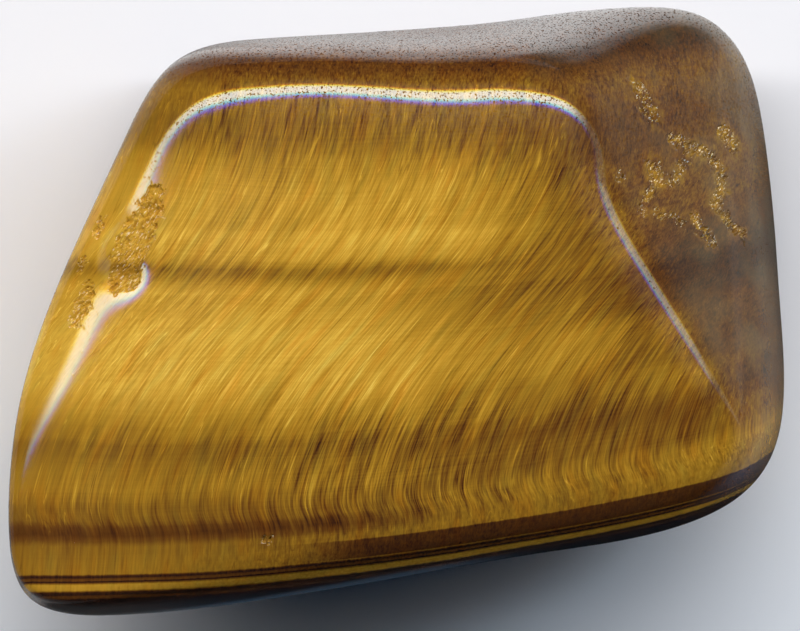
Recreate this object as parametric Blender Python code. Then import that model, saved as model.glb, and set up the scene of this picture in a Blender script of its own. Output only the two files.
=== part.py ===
"""A tumbled tiger's eye stone.

One natural piece, ground smooth and polished all over. It has a broad, very slightly domed top
face, a narrow bevel along its upper left, a wider sloping face down its right, soft corners, a
gently bulging side wall and a rounded underside that is flat enough to rest on. A splintered
chip breaks the left edge and a ring of shallow chips marks the right slope.

The stone is described as the space inside a set of named faces. Every face gives the distance
of a point from it, and neighbouring faces are joined with a rounded edge of their own reach.
Lengths are millimetres and angles are degrees until the mesh is made in metres.
"""
import math

import bmesh
import bpy
import numpy as np

MM = 0.001
HEIGHT = 14.0
BELT_LEVEL = 5.6
WALL_BULGE_RADIUS = 90.0
TOP_DOME_RADIUS = 260.0
UNDERSIDE_RADIUS = 150.0
REST_GRIND = 0.06

# Sides round the outline, anticlockwise from the upper left.
# Name, azimuth of the outward normal, its tilt from straight up, distance from the centre at the
# belt, rounding into the side before.
SIDES = (
    ("upper left", 155.0, 92.0, 13.54, 0.0),
    ("crest", 95.8, 88.5, 12.2, 3.4),
    ("right", 6.1, 85.0, 16.2, 5.6),
    ("lower right", 312.5, 86.0, 16.9, 6.6),
    ("foot", 279.2, 88.0, 11.1, 4.9),
    ("lower left", 267.8, 88.0, 13.65, 1.9),
    ("left", 182.9, 92.0, 16.95, 4.6),
)

# Rounding of the upper faces into the wall, by place on the plan.
FOOT_ROUNDING = 3.5
CREST_ROUNDING = 4.45
CREST_ROUNDING_GAIN = 0.18
LEFT_ROUNDING = 0.5
RIGHT_ROUNDING = 3.75
FOOT_TO_CREST = (-14.0, 14.0)
LEFT_END = (-16.9, -5.35)
RIGHT_END = (7.65, 13.4)

# Sloping face on the right: azimuth, tilt, distance of its upper edge, rounding into the top.
SLOPE_AZIMUTH = 30.7
SLOPE_TILT = 39.1
SLOPE_DISTANCE = 9.42
SLOPE_ROUNDING = 1.2
SHOULDER = ((7.5, 9.25), 2.95, 0.68)

# Narrow bevel along the upper left, rolling softly into the top.
BEVEL_AZIMUTH = 158.3
BEVEL_TILT = 38.55
BEVEL_DISTANCE = 9.9
BEVEL_FOOT_ROUNDING = 4.65
BEVEL_CREST_ROUNDING = 5.8
BEVEL_FOOT_TO_CREST = (-5.0, 7.0)

# Faces ground into the underside: azimuth, slope measured from the top, where each starts.
UNDER_FACES = (
    (200.0, 142.0, (-11.0, -4.0, 0.0)),
    (78.0, 146.0, (3.0, 8.4, 0.0)),
    (330.0, 140.0, (10.5, -5.0, 0.0)),
)
UNDER_FACE_ROUNDING = 3.0
UNDERSIDE_ROUNDING = 3.5

# Gentle hollows (positive depth) and swells (negative) away from the outline.
HOLLOWS = (
    ("crest hollow", (2.5, 12.6, 9.9), 5.0, 0.75),
    ("back hollow", (-3.0, 12.3, 1.8), 3.4, 0.22),
    ("right hollow", (16.0, -1.0, 2.2), 3.0, 0.2),
    ("front hollow", (5.0, -11.6, 2.0), 3.6, 0.2),
    ("left swell", (-15.0, -6.0, 1.8), 3.2, -0.15),
    ("underside hollow", (5.5, -3.0, 0.0), 3.2, 0.18),
)

# Chips broken out of the polished surface, placed as seen from above.
# Name, position on the plan, width across, depth.
CHIPS = (
    ("left edge 1", (-10.4, 4.55), 1.2, 0.16),
    ("left edge 2", (-10.7, 3.85), 1.6, 0.24),
    ("left edge 3", (-11.1, 3.05), 2.0, 0.34),
    ("left edge 4", (-11.45, 2.3), 1.8, 0.28),
    ("left edge 5", (-11.8, 1.4), 1.5, 0.2),
    ("left edge 6", (-12.1, 0.8), 1.0, 0.12),
    ("bevel, upper", (-12.55, 3.6), 0.7, 0.08),
    ("bevel, lower", (-13.2, 0.55), 1.1, 0.12),
    ("bevel, lowest", (-13.45, 0.0), 0.9, 0.1),
    ("slope, top 1", (10.6, 9.3), 0.9, 0.09),
    ("slope, top 2", (10.95, 8.8), 0.8, 0.08),
    ("slope ring 1", (11.6, 7.4), 0.8, 0.08),
    ("slope ring 2", (12.35, 7.0), 1.0, 0.12),
    ("slope ring 3", (12.95, 6.7), 0.8, 0.09),
    ("slope ring 4", (13.5, 6.3), 0.9, 0.11),
    ("slope ring 5", (13.65, 5.6), 0.8, 0.1),
    ("slope ring 6", (13.6, 4.9), 0.9, 0.1),
    ("slope ring 7", (13.8, 4.2), 0.8, 0.09),
    ("slope ring 8", (14.3, 3.5), 1.0, 0.12),
    ("slope ring 9", (11.8, 5.9), 0.8, 0.09),
    ("slope ring 10", (11.2, 5.45), 1.0, 0.11),
    ("slope ring 11", (10.6, 5.3), 0.9, 0.09),
    ("slope ring 12", (10.6, 4.5), 0.8, 0.08),
    ("slope ring 13", (11.1, 4.1), 0.9, 0.1),
    ("slope ring 14", (11.8, 3.95), 0.8, 0.08),
    ("slope ring 15", (13.0, 3.4), 1.0, 0.1),
    ("slope, outer", (13.7, 7.3), 0.9, 0.1),
    ("foot pit", (-5.55, -9.55), 0.8, 0.12),
)
CRUMBLE = 0.035
CRUMBLE_PITCH = 0.75

# Mesh fineness
ICOSPHERE_LEVEL = 8
HEART = (0.0, 0.0, 7.0)
REACH_BOX = (16.4, 12.8, 7.0)
SEARCH_LENGTH = 30.0
SEARCH_STEPS = 26
TRIANGLES = 9200

STONE_COLOUR = (0.36, 0.19, 0.032, 1.0)
STONE_ROUGHNESS = 0.18


def facing(azimuth, tilt):
    """Unit direction at an azimuth, tilted away from straight up."""
    turn = math.radians(azimuth)
    lean = math.radians(tilt)
    return np.array((math.cos(turn) * math.sin(lean), math.sin(turn) * math.sin(lean), math.cos(lean)))


def blend(first, second, reach):
    """Larger of two distances, with the edge between them rounded over the reach."""
    nearness = np.maximum(1.0 - np.abs(first - second) / reach, 0.0)
    return np.maximum(first, second) + nearness**3 * reach / 6.0


def face(points, azimuth, tilt, through):
    """Signed distance from a flat face through a point."""
    return (points - np.array(through)) @ facing(azimuth, tilt)


def sloping_face(points, azimuth, tilt, distance):
    """A face that leaves the level of the top at a distance from the centre."""
    turn = math.radians(azimuth)
    edge = (distance * math.cos(turn), distance * math.sin(turn), HEIGHT)
    return face(points, azimuth, tilt, edge)


def plan_hump(points, centre, radius, height):
    """Smooth hump over a spot of the plan."""
    away = np.hypot(points[:, 0] - centre[0], points[:, 1] - centre[1]) / radius
    return height * np.exp(-(away**2))


def hollow(points, centre, radius, depth):
    """Smooth hollow round a point in space."""
    away = np.linalg.norm(points - np.array(centre), axis=1) / radius
    return depth * np.exp(-(away**2))


def smooth_step(values, span):
    """0 before the span, 1 after it, with a smooth change between."""
    share = np.clip((values - span[0]) / (span[1] - span[0]), 0.0, 1.0)
    return share * share * (3.0 - 2.0 * share)


def wall(points):
    """The side wall: the sides joined round the outline, bulging at the belt."""
    outline = None
    for _, azimuth, tilt, distance, rounding in SIDES:
        turn = math.radians(azimuth)
        at_belt = (distance * math.cos(turn), distance * math.sin(turn), BELT_LEVEL)
        side = face(points, azimuth, tilt, at_belt)
        outline = side if outline is None else blend(outline, side, rounding)
    return outline + (points[:, 2] - BELT_LEVEL) ** 2 / (2.0 * WALL_BULGE_RADIUS)


def top(points):
    """The broad top face, domed very slightly."""
    off_centre = points[:, 0] ** 2 + points[:, 1] ** 2
    return points[:, 2] - HEIGHT + off_centre / (2.0 * TOP_DOME_RADIUS)


def upper_rounding(points):
    """Reach of the rounding between the upper faces and the wall, by place."""
    across = points[:, 0]
    at_crest = CREST_ROUNDING + CREST_ROUNDING_GAIN * across
    middle = FOOT_ROUNDING + smooth_step(points[:, 1], FOOT_TO_CREST) * (at_crest - FOOT_ROUNDING)
    rounding = LEFT_ROUNDING + smooth_step(across, LEFT_END) * (middle - LEFT_ROUNDING)
    return rounding + smooth_step(across, RIGHT_END) * (RIGHT_ROUNDING - rounding)


def right_slope(points):
    """The wide sloping face on the right, with a shoulder near the crest."""
    spot, radius, height = SHOULDER
    slope = sloping_face(points, SLOPE_AZIMUTH, SLOPE_TILT, SLOPE_DISTANCE)
    return slope - plan_hump(points, spot, radius, height)


def underside(points):
    """The rounded underside with its three ground faces."""
    off_centre = points[:, 0] ** 2 + points[:, 1] ** 2
    below = off_centre / (2.0 * UNDERSIDE_RADIUS) - points[:, 2]
    for azimuth, tilt, start in UNDER_FACES:
        below = blend(below, face(points, azimuth, tilt, start), UNDER_FACE_ROUNDING)
    return below


def polished_body(points):
    """The tumbled stone before anything chipped off it. Negative inside."""
    bevel = sloping_face(points, BEVEL_AZIMUTH, BEVEL_TILT, BEVEL_DISTANCE)
    to_crest = smooth_step(points[:, 1], BEVEL_FOOT_TO_CREST)
    rolling = BEVEL_FOOT_ROUNDING + to_crest * (BEVEL_CREST_ROUNDING - BEVEL_FOOT_ROUNDING)
    crown = blend(top(points), bevel, rolling)
    crown = blend(crown, right_slope(points), SLOPE_ROUNDING)
    body = blend(wall(points), crown, upper_rounding(points))
    body = blend(body, underside(points), UNDERSIDE_ROUNDING)
    for _, centre, radius, depth in HOLLOWS:
        body = body + hollow(points, centre, radius, depth)
    return body


def crossing(distance_of, starts, directions, length):
    """Points where rays that start inside leave the body."""
    near = np.zeros(len(starts))
    far = np.full(len(starts), length)
    for _ in range(SEARCH_STEPS):
        middle = (near + far) / 2.0
        outside = distance_of(starts + directions * middle[:, None]) > 0.0
        far = np.where(outside, middle, far)
        near = np.where(outside, near, middle)
    return starts + directions * ((near + far) / 2.0)[:, None]


def chip_scoop(spot, width, depth):
    """Centre and radius of a scoop of a width and depth at a spot of the plan."""
    start = np.array([[spot[0], spot[1], BELT_LEVEL]])
    surface = crossing(polished_body, start, np.array([[0.0, 0.0, 1.0]]), HEIGHT)
    step = 0.01
    outward = np.array([
        polished_body(surface + step * axis)[0] - polished_body(surface - step * axis)[0]
        for axis in np.eye(3)
    ])
    outward = outward / np.linalg.norm(outward)
    radius = ((width / 2.0) ** 2 + depth**2) / (2.0 * depth)
    return surface[0] + outward * (radius - depth), radius


def crumble(points):
    """Small uneven steps that a break leaves."""
    waves = points * (2.0 * math.pi / CRUMBLE_PITCH)
    across = np.sin(waves[:, 0] + 0.7 * np.sin(0.6 * waves[:, 1]))
    along = np.sin(0.8 * waves[:, 1] + 0.9 * np.sin(0.5 * waves[:, 2]) + 1.3)
    return CRUMBLE * (across + along)


def chipped_body(points):
    """The polished stone with every chip scooped out of it."""
    body = polished_body(points)
    roughness = crumble(points)
    for centre, radius in CHIP_SCOOPS:
        scoop = radius - np.linalg.norm(points - centre, axis=1)
        body = np.maximum(body, scoop + roughness)
    return body


CHIP_SCOOPS = [chip_scoop(spot, width, depth) for _, spot, width, depth in CHIPS]


def clear_scene():
    """Start from an empty scene."""
    for thing in list(bpy.data.objects):
        bpy.data.objects.remove(thing, do_unlink=True)


def stone_material():
    """Polished golden brown stone."""
    material = bpy.data.materials.new("tiger_eye")
    material.use_nodes = True
    shader = material.node_tree.nodes["Principled BSDF"]
    shader.inputs["Base Color"].default_value = STONE_COLOUR
    shader.inputs["Roughness"].default_value = STONE_ROUGHNESS
    shader.inputs["Metallic"].default_value = 0.0
    material.diffuse_color = STONE_COLOUR
    return material


def fine_skin():
    """A fine closed skin laid on the chipped body, in millimetres."""
    skin = bmesh.new()
    bmesh.ops.create_icosphere(skin, subdivisions=ICOSPHERE_LEVEL, radius=1.0)
    directions = np.array([vertex.co[:] for vertex in skin.verts]) * np.array(REACH_BOX)
    directions /= np.linalg.norm(directions, axis=1)[:, None]
    starts = np.tile(np.array(HEART), (len(directions), 1))
    for vertex, place in zip(skin.verts, crossing(chipped_body, starts, directions, SEARCH_LENGTH)):
        vertex.co = place
    return skin


def thinned(mesh):
    """The same skin with triangles only where the shape needs them."""
    carrier = bpy.data.objects.new("carrier", mesh)
    bpy.context.scene.collection.objects.link(carrier)
    thin = carrier.modifiers.new("thin", "DECIMATE")
    thin.ratio = TRIANGLES / len(mesh.polygons)
    evaluated = carrier.evaluated_get(bpy.context.evaluated_depsgraph_get())
    result = bpy.data.meshes.new_from_object(evaluated)
    bpy.data.objects.remove(carrier, do_unlink=True)
    return result


def grind_rest(skin):
    """Cut the lowest part away and close it with one flat face to rest on."""
    everything = skin.verts[:] + skin.edges[:] + skin.faces[:]
    lowest = min(vertex.co.z for vertex in skin.verts)
    cut = bmesh.ops.bisect_plane(
        skin, geom=everything, dist=1e-5, plane_co=(0.0, 0.0, lowest + REST_GRIND),
        plane_no=(0.0, 0.0, -1.0), clear_outer=True)
    rim = [item for item in cut["geom_cut"] if isinstance(item, bmesh.types.BMEdge)]
    bmesh.ops.contextual_create(skin, geom=rim)


def centre_on_rest(skin):
    """Move the stone so that the origin is below its middle, on the resting face, in metres."""
    places = np.array([vertex.co[:] for vertex in skin.verts])
    low = places.min(axis=0)
    high = places.max(axis=0)
    origin = np.array(((low[0] + high[0]) / 2.0, (low[1] + high[1]) / 2.0, low[2]))
    for vertex, place in zip(skin.verts, places):
        vertex.co = (place - origin) * MM


def build_stone():
    """The whole stone as one closed body."""
    skin = fine_skin()
    dense = bpy.data.meshes.new("dense")
    skin.to_mesh(dense)
    skin.free()
    mesh = thinned(dense)
    skin = bmesh.new()
    skin.from_mesh(mesh)
    grind_rest(skin)
    centre_on_rest(skin)
    bmesh.ops.triangulate(skin, faces=skin.faces[:])
    bmesh.ops.recalc_face_normals(skin, faces=skin.faces[:])
    for polygon in skin.faces:
        polygon.smooth = True
    skin.to_mesh(mesh)
    skin.free()
    mesh.name = "stone"
    mesh.materials.append(stone_material())
    stone = bpy.data.objects.new("stone", mesh)
    bpy.context.scene.collection.objects.link(stone)
    return stone


clear_scene()
build_stone()
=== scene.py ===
"""A tumbled tiger's eye stone lying on a pale table, seen from straight above.

The polished skin is laid by a Geometry Nodes tree that holds the same named faces as the plain
solid: a wall of seven sides, a domed top, a bevel, a sloping face and a rounded underside, all
joined with rounded edges. A second tree breaks the chips out of it. The gold and brown silk is
one procedural material that follows the layers and the bent fibres of the stone. Its colour also
holds painted light: shade where the silk's sheen turns from the lamp, glints, sparkles and a grey
sheen. The table is painted lighter and bluer in front, and glows only in the polish.
Inside the trees and the material lengths are millimetres and angles are degrees.
"""
import math
from collections import namedtuple

import bmesh
import bpy
import numpy as np
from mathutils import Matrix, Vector
from mathutils.bvhtree import BVHTree


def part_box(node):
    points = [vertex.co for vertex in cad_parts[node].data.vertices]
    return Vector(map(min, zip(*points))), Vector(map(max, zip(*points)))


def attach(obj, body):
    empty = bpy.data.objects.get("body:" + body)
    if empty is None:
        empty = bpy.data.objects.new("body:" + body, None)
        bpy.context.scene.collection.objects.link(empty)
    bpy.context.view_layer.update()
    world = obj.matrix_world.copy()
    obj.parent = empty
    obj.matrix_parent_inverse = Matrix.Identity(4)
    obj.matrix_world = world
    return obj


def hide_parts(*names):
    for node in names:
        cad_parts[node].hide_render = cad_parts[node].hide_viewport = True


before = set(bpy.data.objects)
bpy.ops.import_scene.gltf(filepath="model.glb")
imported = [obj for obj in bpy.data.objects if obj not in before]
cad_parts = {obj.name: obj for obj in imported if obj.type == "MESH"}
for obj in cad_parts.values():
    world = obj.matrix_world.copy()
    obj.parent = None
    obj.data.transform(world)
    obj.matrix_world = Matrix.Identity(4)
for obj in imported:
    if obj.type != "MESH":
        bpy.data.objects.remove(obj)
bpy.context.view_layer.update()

MM = 0.001
HEART = (0.0, 0.0, 7.0)
REACH_BOX = (16.4, 12.8, 7.0)

# Sizes of the polished body
BODY_SIZES = {
    "Height": 14.0,
    "Belt level": 5.6,
    "Wall bulge radius": 90.0,
    "Top dome radius": 260.0,
    "Underside radius": 150.0,
    "Foot rounding": 3.5,
    "Crest rounding": 4.45,
    "Crest rounding gain": 0.18,
    "Left rounding": 0.5,
    "Right rounding": 3.75,
    "Slope azimuth": 30.7,
    "Slope tilt": 39.1,
    "Slope distance": 9.42,
    "Slope rounding": 1.2,
    "Shoulder height": 0.68,
    "Shoulder radius": 2.95,
    "Bevel azimuth": 158.3,
    "Bevel tilt": 38.55,
    "Bevel distance": 9.9,
    "Bevel foot rounding": 4.65,
    "Bevel crest rounding": 5.8,
    "Under face rounding": 3.0,
    "Underside rounding": 3.5,
}
# Side, azimuth, tilt from straight up, distance at the belt, rounding into the side before
SIDES = (
    ("Upper left", 155.0, 92.0, 13.54, 0.0),
    ("Crest", 95.8, 88.5, 12.2, 3.4),
    ("Right", 6.1, 85.0, 16.2, 5.6),
    ("Lower right", 312.5, 86.0, 16.9, 6.6),
    ("Foot", 279.2, 88.0, 11.1, 4.9),
    ("Lower left", 267.8, 88.0, 13.65, 1.9),
    ("Left", 182.9, 92.0, 16.95, 4.6),
)
FOOT_TO_CREST = (-14.0, 14.0)
BEVEL_FOOT_TO_CREST = (-5.0, 7.0)
LEFT_END = (-16.9, -5.35)
RIGHT_END = (7.65, 13.4)
SHOULDER_SPOT = (7.5, 9.25)
# Azimuth, slope and starting point of the faces ground into the underside
UNDER_FACES = (
    (200.0, 142.0, (-11.0, -4.0, 0.0)),
    (78.0, 146.0, (3.0, 8.4, 0.0)),
    (330.0, 140.0, (10.5, -5.0, 0.0)),
)
# Centre, radius and depth of gentle hollows (a swell has a negative depth)
HOLLOWS = (
    ("Crest hollow", (2.5, 12.6, 9.9), 5.0, 0.75),
    ("Back hollow", (-3.0, 12.3, 1.8), 3.4, 0.22),
    ("Right hollow", (16.0, -1.0, 2.2), 3.0, 0.2),
    ("Front hollow", (5.0, -11.6, 2.0), 3.6, 0.2),
    ("Left swell", (-15.0, -6.0, 1.8), 3.2, -0.15),
    ("Underside hollow", (5.5, -3.0, 0.0), 3.2, 0.18),
)
REST_GRIND = 0.06

# Breaks as seen from above: the line that each follows on the plan, width across, depth
LEFT_BREAKS = (
    (((-10.2, 5.05), (-10.5, 4.35)), 0.7, 0.09),
    (((-10.5, 4.3), (-10.95, 3.4)), 1.25, 0.18),
    (((-11.0, 3.3), (-11.4, 2.5)), 1.6, 0.26),
    (((-11.4, 2.5), (-11.55, 1.7)), 1.55, 0.25),
    (((-11.6, 1.6), (-11.8, 1.2)), 0.95, 0.13),
    (((-12.55, 3.75), (-12.75, 3.4)), 0.4, 0.05),
    (((-13.2, 2.2), (-13.35, 1.9)), 0.3, 0.04),
    (((-13.05, 1.0), (-13.3, 0.4), (-13.6, -0.3)), 0.6, 0.07),
)
RING_BREAKS = (
    (((11.6, 7.4), (12.15, 7.1), (12.9, 6.8), (13.45, 6.4)), 0.5, 0.06),
    (((13.45, 6.4), (13.65, 5.8), (13.63, 5.1), (13.4, 4.55)), 0.5, 0.07),
    (((13.4, 4.55), (13.85, 4.1), (14.1, 3.6), (14.6, 3.3)), 0.45, 0.06),
    (((13.75, 7.7), (14.15, 7.15)), 0.7, 0.06),
    (((12.35, 6.8), (12.05, 6.25), (11.8, 5.7)), 0.3, 0.04),
    (((11.8, 5.65), (11.4, 5.55), (10.9, 5.6)), 0.45, 0.06),
    (((10.75, 6.1), (10.95, 5.65)), 0.6, 0.05),
    (((10.75, 5.35), (10.6, 4.95), (10.3, 4.6), (10.3, 4.2)), 0.28, 0.04),
    (((10.9, 4.25), (11.25, 4.05)), 0.28, 0.04),
    (((11.6, 4.05), (12.0, 3.75)), 0.28, 0.04),
    (((12.55, 4.0), (12.8, 3.55), (13.25, 2.95)), 0.4, 0.05),
    (((10.1, 9.4), (10.5, 9.0), (10.75, 8.35)), 0.55, 0.03),
    (((9.3, 5.85), (9.4, 5.65)), 0.3, 0.04),
)
FOOT_PIT = ((((-5.6, -9.55), (-5.45, -9.55)), 0.32, 0.08),)
BREAKS = LEFT_BREAKS + RING_BREAKS + FOOT_PIT
SPOT_SPACING = 0.45
SCOOP_ROUNDING = 0.04
# Dip worn round the largest break, and the patch beside it where the polish is dull
WORN_SPOT = (-11.45, 2.1, 12.2)
DULL_SPOT = (-12.1, 2.65)
DULL_REACH = (0.65, 1.75)
DULL_SLANT = 0.42
CHIP_SIZES = {
    "Ragged edge": 0.27,
    "Ragged pitch": 0.3,
    "Broken edge": 0.16,
    "Crumbled edge": 0.12,
    "Scoop share": 0.7,
    "Least depth": 0.02,
    "Splinter depth": 0.07,
    "Splinter pitch": 0.42,
    "Crumb depth": 0.018,
    "Worn depth": 0.1,
    "Worn reach": 1.0,
    "Rest grind": REST_GRIND,
}

# Splinters, as multiples of their pitch along the fibres and up, and the crumbs between them
SPLINTER_LENGTH = 2.6
SPLINTER_HEIGHT = 1.6
CRUMBS_PER_MM = 5.0
# Where the scar on the left gives way to the ring of chips on the right
SCAR_TO_RING = (-2.0, 2.0)

# Mesh fineness
ICOSPHERE_LEVEL = 7
RELAX_STEPS = 26
RELAX_SHARE = 1.3
SHARP_EDGE = math.radians(5.5)
SHARP_ROUNDS = 2
CHIP_ROUNDS = 3
CHIP_MARGIN = 0.22

# Layers of the stone, as levels across them
LAYER_SLOPE = -0.0587
LAYER_DEPTH = 0.0825
LAYER_BOW = -0.0047
LAYER_FAN = 0.0057
LAYER_TWIST = 0.0078
LAYER_CURL = 0.01
TOP_LEVEL = 14.0
FIBRE_LEAN = 0.95
FIBRE_BEND_LEVEL = 0.0
FIBRE_BEND_REACH = 5.7
KINK_LEAN = 0.6
KINK_LEVEL = -8.3
KINK_REACH = 0.6

# Share of gold in each layer, from the foot of the stone to its crest
GOLD_SHARES = (
    (-13.0, 0.03), (-11.8, 0.045), (-11.25, 0.05), (-11.2, 0.15), (-11.14, 0.15),
    (-11.08, 0.05), (-10.98, 0.07), (-10.9, 0.68), (-10.7, 0.7), (-10.63, 0.2),
    (-10.58, 0.02), (-10.53, 0.18), (-10.47, 0.16),
    (-10.41, 0.05), (-10.34, 0.085), (-10.28, 0.44), (-9.9, 0.42), (-9.5, 0.38), (-9.2, 0.36),
    (-9.0, 0.22), (-8.75, 0.14), (-8.45, 0.17), (-8.2, 0.28), (-7.7, 0.32),
)
UPPER_SHARES = (
    (-7.7, 0.32), (-7.0, 0.46), (-6.4, 0.43), (-5.6, 0.36), (-5.2, 0.38), (-4.9, 0.48),
    (-4.5, 0.53), (-3.9, 0.69), (-3.1, 0.865), (-2.5, 0.92), (-0.9, 0.92), (0.1, 0.82),
    (0.55, 0.77), (0.95, 0.81), (1.28, 0.66), (1.6, 0.45), (1.8, 0.42), (2.05, 0.59), (2.3, 0.76),
    (3.0, 0.87), (3.3, 0.875), (3.55, 0.78), (4.8, 0.775), (5.3, 0.73), (6.3, 0.58), (6.8, 0.44),
    (7.3, 0.37), (7.9, 0.35), (9.0, 0.39), (9.6, 0.25), (10.1, 0.14), (13.5, 0.11),
)
# Shares where the dark seam fades out to the right, and in the dark wedge above the foot
FILLED_SEAM_SHARE = 0.72
WEDGE_SHARE = 0.11
SEAM_LEVEL = 1.75
# Fibres: pitch across, length along, steps of detail. Threads: pitch, length, start.
HAIR = (0.055, 1.2, 1.0)
FINE_FIBRES = (0.1, 2.0, 2.0)
STRANDS = (0.26, 3.4, 2.0)
BUNDLES = (1.1, 4.0, 2.0)
HUE_BUNDLES = (0.55, 2.2, 2.0, 71.0)
BRIGHT_THREADS = (0.24, 6.5, 5.0)
DARK_THREADS = (0.36, 8.0, 43.0)

# Colour of the silk by its share of gold
SILK_COLOURS = (
    (0.0, (0.005, 0.003, 0.003)),
    (0.06, (0.034, 0.012, 0.005)),
    (0.13, (0.080, 0.027, 0.005)),
    (0.19, (0.12, 0.046, 0.007)),
    (0.31, (0.19, 0.090, 0.009)),
    (0.5, (0.31, 0.161, 0.012)),
    (0.65, (0.405, 0.219, 0.017)),
    (0.8, (0.505, 0.278, 0.025)),
    (1.0, (0.65, 0.39, 0.045)),
    (1.3, (0.84, 0.58, 0.10)),
)

# Colour of freshly broken stone, from its shaded hollows to its bright splinters
BROKEN_COLOURS = (
    (0.3, (0.22, 0.11, 0.012)),
    (0.43, (0.40, 0.215, 0.022)),
    (0.57, (0.55, 0.33, 0.04)),
    (0.7, (0.76, 0.52, 0.12)),
)
STONE_COLOUR = (0.36, 0.19, 0.032, 1.0)
# Painted glint of the lamp on the splinters of the breaks
GLINT_COLOUR = (1.0, 0.9, 0.62, 1.0)
# Grey of the painted sheen on the slope
PAINTED_SHEEN_COLOUR = (0.17, 0.145, 0.075, 1.0)
REDDER = (1.03, 0.88, 0.75, 1.0)
GREENER = (0.9, 1.0, 1.15, 1.0)
# Painted sparkles of the lamp in the polish
PAINTED_SPARKLE_COLOUR = (0.95, 0.85, 0.66, 1.0)
SPECK_PITCH = 0.7
PIT_PITCH = 0.085
COAT_IOR = 1.54
COAT_ROUGHNESS = 0.06
SILK_ROUGHNESS = 0.45

# Camera and lights, in metres
PICTURE = (800, 631)
PICTURE_SCALE = 0.04233
PICTURE_ORIGIN = (398.0, 312.5)
LENS = 1200.0
SENSOR = 36.0
FOCUS_LEVEL = 8.0 * MM
LAMP_TILT = 31.0
LAMP_DISTANCE = 0.5
LAMP_LENGTH = 5.0
RIGHT_PART = (0.42, 0.75)
RIGHT_PART_RADIANCE = 10.5
RIGHT_PART_COLOUR = (0.8, 1.0, 1.25)
LAMP_WIDTH = 10.0
LAMP_RADIANCE = 14.0
LAMP_COLOUR = (1.0, 0.957, 0.978)
# How the lamp looks in the polish: middle and half width in degrees, brightness, for each colour
GLEAM_BANDS = ((33.7, 5.0, 12.4), (32.4, 5.4, 13.4), (30.4, 5.6, 12.6))
GLEAM_EDGE = 1.7
GLEAM_TILT = 34.8
# Table colour behind and in front: painted lighter and bluer in front, standing in for light and shade
FLOOR_PAINTED_LIGHT_COLOURS = ((0.79, 0.81, 0.81, 1.0), (0.90, 0.96, 0.98, 1.0))
FLOOR_GLEAM = 1.95
TABLE_HALF = 1.5
BLUE_SHADE = (0.4, 0.66, 1.0, 1.0)
WHITE = (1.0, 1.0, 1.0, 1.0)
BLACK = (0.0, 0.0, 0.0, 1.0)
ROOM_COLOUR = (0.004, 0.013, 0.028, 1.0)
BACKDROP_COLOUR = (0.78, 0.785, 0.78, 1.0)


class Amount:
    """A number in a node tree. Ordinary arithmetic on it adds math nodes to the tree."""

    def __init__(self, tree, socket):
        self.tree = tree
        self.socket = socket

    def __add__(self, other):
        return worked(self.tree, "ADD", self, other)

    def __radd__(self, other):
        return worked(self.tree, "ADD", other, self)

    def __sub__(self, other):
        return worked(self.tree, "SUBTRACT", self, other)

    def __rsub__(self, other):
        return worked(self.tree, "SUBTRACT", other, self)

    def __mul__(self, other):
        return worked(self.tree, "MULTIPLY", self, other)

    def __rmul__(self, other):
        return worked(self.tree, "MULTIPLY", other, self)

    def __truediv__(self, other):
        return worked(self.tree, "DIVIDE", self, other)

    def __rtruediv__(self, other):
        return worked(self.tree, "DIVIDE", other, self)

    def __pow__(self, other):
        return worked(self.tree, "POWER", self, other)


def plug(tree, value, socket):
    """Feed an input with an amount, a node's output or a plain value."""
    if isinstance(value, Amount):
        tree.links.new(value.socket, socket)
    elif isinstance(value, bpy.types.NodeSocket):
        tree.links.new(value, socket)
    else:
        socket.default_value = value


def worked(tree, operation, *values):
    """Result of one math node."""
    node = tree.nodes.new("ShaderNodeMath")
    node.operation = operation
    for value, socket in zip(values, node.inputs):
        plug(tree, value, socket)
    return Amount(tree, node.outputs[0])


def larger(first, second):
    return worked(first.tree, "MAXIMUM", first, second)


def smaller(first, second):
    return worked(first.tree, "MINIMUM", first, second)


def rounded(first, second, reach):
    """Larger of two distances, with the edge between them rounded over the reach."""
    return worked(first.tree, "SMOOTH_MAX", first, second, reach)


def cosine(angle):
    return worked(angle.tree, "COSINE", angle)


def sine(angle):
    return worked(angle.tree, "SINE", angle)


def smooth_step(value, start, end, low=0.0, high=1.0):
    """Goes smoothly from low before the start to high after the end."""
    node = value.tree.nodes.new("ShaderNodeMapRange")
    node.interpolation_type = "SMOOTHSTEP"
    for number, socket in zip((value, start, end, low, high), node.inputs):
        plug(value.tree, number, socket)
    return Amount(value.tree, node.outputs[0])


def combined(tree, x, y, z):
    """A vector of three amounts."""
    node = tree.nodes.new("ShaderNodeCombineXYZ")
    for value, socket in zip((x, y, z), node.inputs):
        plug(tree, value, socket)
    return node.outputs[0]


def separated(tree, vector):
    """The three amounts of a vector."""
    node = tree.nodes.new("ShaderNodeSeparateXYZ")
    plug(tree, vector, node.inputs[0])
    return tuple(Amount(tree, socket) for socket in node.outputs)


def vector_worked(tree, operation, first, second=None, scale=None):
    """The vector math node for two vectors."""
    node = tree.nodes.new("ShaderNodeVectorMath")
    node.operation = operation
    plug(tree, first, node.inputs[0])
    if second is not None:
        plug(tree, second, node.inputs[1])
    if scale is not None:
        plug(tree, scale, node.inputs["Scale"])
    return node


def scaled_vector(tree, vector, scale):
    return vector_worked(tree, "SCALE", vector, scale=scale).outputs[0]


def in_millimetres(tree):
    """Place of each point of a material's own object, in millimetres."""
    coordinates = tree.nodes.new("ShaderNodeTexCoord").outputs["Object"]
    return scaled_vector(tree, coordinates, 1.0 / MM)


def noise(tree, vector, detail=0.0, roughness=0.5):
    """Smooth noise about one unit across, from 0 to 1."""
    node = tree.nodes.new("ShaderNodeTexNoise")
    node.noise_dimensions = "3D"
    plug(tree, vector, node.inputs["Vector"])
    node.inputs["Scale"].default_value = 1.0
    node.inputs["Detail"].default_value = detail
    node.inputs["Roughness"].default_value = roughness
    return Amount(tree, node.outputs["Fac"])


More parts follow.
